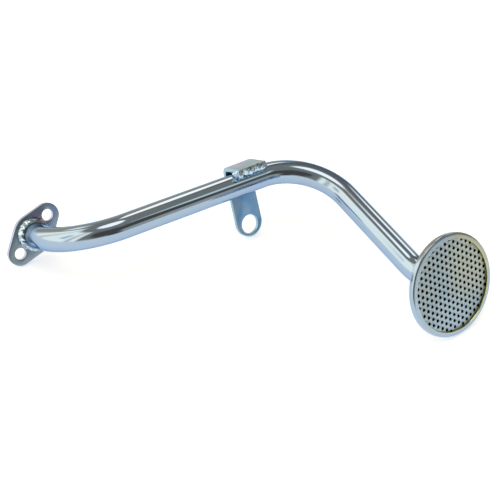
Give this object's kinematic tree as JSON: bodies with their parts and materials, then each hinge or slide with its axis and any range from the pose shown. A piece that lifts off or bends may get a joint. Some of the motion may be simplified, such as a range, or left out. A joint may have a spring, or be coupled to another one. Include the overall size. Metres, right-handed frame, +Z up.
{
  "type": "oil pickup tube",
  "caption": "Bent steel oil pickup tube with a two-bolt pump flange, a strap bracket and a round strainer cup behind a perforated screen.",
  "frame": {"origin": "bottom centre of the box round the part as it lies at rest", "axes": "+Z up from the surface that it lies on, +X level along the tube's long run, from the flange towards the strainer"},
  "size_m": [0.2804, 0.268, 0.0714],
  "materials": {
    "bright_tube": "bright zinc plate over drawn steel tube",
    "plated_plate": "blue-grey zinc plate",
    "plated_strap": "blue zinc plate",
    "plated_cup": "satin zinc plate",
    "plated_screen": "satin zinc plate",
    "bead_metal": "bright plated weld metal"
  },
  "bodies": {
    "root": {"pickup_tube": "bright_tube", "pump_flange": "plated_plate", "flange_weld": "bead_metal", "support_bracket": "plated_strap", "bracket_weld": "bead_metal", "screen_cup": "plated_cup", "cup_weld": "bead_metal", "strainer_screen": "plated_screen"}
  },
  "joints": []
}
